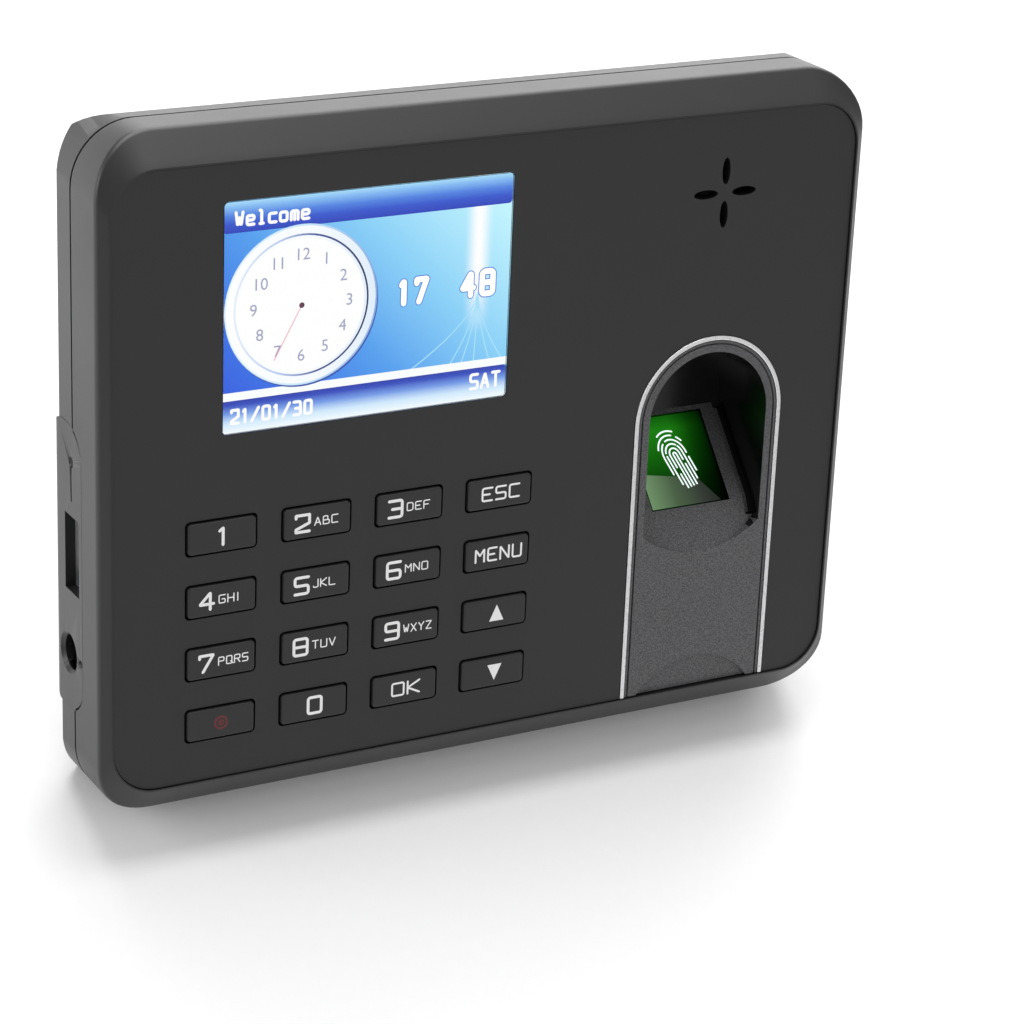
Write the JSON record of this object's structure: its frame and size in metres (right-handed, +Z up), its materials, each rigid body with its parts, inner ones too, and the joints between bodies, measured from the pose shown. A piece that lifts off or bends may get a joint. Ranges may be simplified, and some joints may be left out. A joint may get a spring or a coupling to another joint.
{
  "type": "fingerprint scanner terminal",
  "caption": "Desk fingerprint terminal with a colour display, keypad and lit finger well, leaning back on a clip-on stand.",
  "frame": {"origin": "on the floor, under the middle of the footprint", "axes": "+Z up, the display and keys face -Y and up, +X to the viewer's right"},
  "size_m": [0.1342, 0.0742, 0.0992],
  "materials": {
    "frame_plastic": "dark grey moulded plastic, satin",
    "panel_plastic": "near-black moulded plastic, fine matt texture",
    "clear_window": "clear, polished",
    "lit_picture": "lit colour display",
    "module_steel": "pressed sheet",
    "ribbon_film": "amber film",
    "bright_trim": "satin plated",
    "guide_plastic": "dark grey, sand textured",
    "sensor_glass": "polished, lit green from behind",
    "dark_plastic": "black moulded plastic",
    "circuit_board": "green solder mask",
    "wire_sleeve": "soft sleeve",
    "key_plastic": "dark grey, satin",
    "mat_rubber": "silicone sheet",
    "contact_brass": "plated",
    "cone_rubber": "black",
    "plated_steel": "nickel plated",
    "white_plastic": "white moulded plastic",
    "shell_plastic": "grey moulded plastic, satin",
    "screw_steel": "blackened",
    "label_film": "printed film",
    "white_film": "white paper film",
    "stand_paint": "dark grey satin paint on bent steel sheet",
    "pad_rubber": "black"
  },
  "bodies": {
    "terminal": {"front_frame": "frame_plastic", "front_panel": "panel_plastic", "lcd_window": "clear_window", "lcd_screen": "lit_picture", "lcd_module": "module_steel", "lcd_ribbon": "ribbon_film", "finger_trim": "bright_trim", "finger_guide": "guide_plastic", "sensor_window": "sensor_glass", "sensor_block": "dark_plastic", "sensor_board": "circuit_board", "sensor_cable": "wire_sleeve", "keypad_mat": "mat_rubber", "keypad_domes": "contact_brass", "keypad_board": "circuit_board", "speaker_frame": "module_steel", "speaker_cone": "cone_rubber", "main_board": "circuit_board", "board_parts": "dark_plastic", "backup_cell": "plated_steel", "usb_shell": "plated_steel", "usb_tongue": "white_plastic", "dc_jack": "dark_plastic", "dc_pin": "contact_brass", "rear_shell": "shell_plastic", "case_screws": "screw_steel", "board_screws": "plated_steel", "rear_label": "label_film", "round_sticker": "white_film", "code_sticker": "white_film"},
    "key_1_cap": {"key_1": "key_plastic"},
    "key_2_cap": {"key_2": "key_plastic"},
    "key_3_cap": {"key_3": "key_plastic"},
    "key_esc_cap": {"key_esc": "key_plastic"},
    "key_4_cap": {"key_4": "key_plastic"},
    "key_5_cap": {"key_5": "key_plastic"},
    "key_6_cap": {"key_6": "key_plastic"},
    "key_menu_cap": {"key_menu": "key_plastic"},
    "key_7_cap": {"key_7": "key_plastic"},
    "key_8_cap": {"key_8": "key_plastic"},
    "key_9_cap": {"key_9": "key_plastic"},
    "key_up_cap": {"key_up": "key_plastic"},
    "key_power_cap": {"key_power": "key_plastic"},
    "key_0_cap": {"key_0": "key_plastic"},
    "key_ok_cap": {"key_ok": "key_plastic"},
    "key_down_cap": {"key_down": "key_plastic"},
    "stand": {"stand_bracket": "stand_paint", "stand_pads": "pad_rubber"}
  },
  "joints": [
    {"name": "key_1_press", "type": "slide", "parent": "terminal", "child": "key_1_cap", "axis": [0, 0.848, -0.5299], "range_m": [0, 0.0008], "stiffness_N_per_m": 1200, "springref_m": -0.0006},
    {"name": "key_2_press", "type": "slide", "parent": "terminal", "child": "key_2_cap", "axis": [0, 0.848, -0.5299], "range_m": [0, 0.0008], "stiffness_N_per_m": 1200, "springref_m": -0.0006},
    {"name": "key_3_press", "type": "slide", "parent": "terminal", "child": "key_3_cap", "axis": [0, 0.848, -0.5299], "range_m": [0, 0.0008], "stiffness_N_per_m": 1200, "springref_m": -0.0006},
    {"name": "key_esc_press", "type": "slide", "parent": "terminal", "child": "key_esc_cap", "axis": [0, 0.848, -0.5299], "range_m": [0, 0.0008], "stiffness_N_per_m": 1200, "springref_m": -0.0006},
    {"name": "key_4_press", "type": "slide", "parent": "terminal", "child": "key_4_cap", "axis": [0, 0.848, -0.5299], "range_m": [0, 0.0008], "stiffness_N_per_m": 1200, "springref_m": -0.0006},
    {"name": "key_5_press", "type": "slide", "parent": "terminal", "child": "key_5_cap", "axis": [0, 0.848, -0.5299], "range_m": [0, 0.0008], "stiffness_N_per_m": 1200, "springref_m": -0.0006},
    {"name": "key_6_press", "type": "slide", "parent": "terminal", "child": "key_6_cap", "axis": [0, 0.848, -0.5299], "range_m": [0, 0.0008], "stiffness_N_per_m": 1200, "springref_m": -0.0006},
    {"name": "key_menu_press", "type": "slide", "parent": "terminal", "child": "key_menu_cap", "axis": [0, 0.848, -0.5299], "range_m": [0, 0.0008], "stiffness_N_per_m": 1200, "springref_m": -0.0006},
    {"name": "key_7_press", "type": "slide", "parent": "terminal", "child": "key_7_cap", "axis": [0, 0.848, -0.5299], "range_m": [0, 0.0008], "stiffness_N_per_m": 1200, "springref_m": -0.0006},
    {"name": "key_8_press", "type": "slide", "parent": "terminal", "child": "key_8_cap", "axis": [0, 0.848, -0.5299], "range_m": [0, 0.0008], "stiffness_N_per_m": 1200, "springref_m": -0.0006},
    {"name": "key_9_press", "type": "slide", "parent": "terminal", "child": "key_9_cap", "axis": [0, 0.848, -0.5299], "range_m": [0, 0.0008], "stiffness_N_per_m": 1200, "springref_m": -0.0006},
    {"name": "key_up_press", "type": "slide", "parent": "terminal", "child": "key_up_cap", "axis": [0, 0.848, -0.5299], "range_m": [0, 0.0008], "stiffness_N_per_m": 1200, "springref_m": -0.0006},
    {"name": "key_power_press", "type": "slide", "parent": "terminal", "child": "key_power_cap", "axis": [0, 0.848, -0.5299], "range_m": [0, 0.0008], "stiffness_N_per_m": 1200, "springref_m": -0.0006},
    {"name": "key_0_press", "type": "slide", "parent": "terminal", "child": "key_0_cap", "axis": [0, 0.848, -0.5299], "range_m": [0, 0.0008], "stiffness_N_per_m": 1200, "springref_m": -0.0006},
    {"name": "key_ok_press", "type": "slide", "parent": "terminal", "child": "key_ok_cap", "axis": [0, 0.848, -0.5299], "range_m": [0, 0.0008], "stiffness_N_per_m": 1200, "springref_m": -0.0006},
    {"name": "key_down_press", "type": "slide", "parent": "terminal", "child": "key_down_cap", "axis": [0, 0.848, -0.5299], "range_m": [0, 0.0008], "stiffness_N_per_m": 1200, "springref_m": -0.0006},
    {"name": "stand_unhook", "type": "slide", "parent": "terminal", "child": "stand", "axis": [0, -0.5299, -0.848], "range_m": [0, 0.006]}
  ]
}
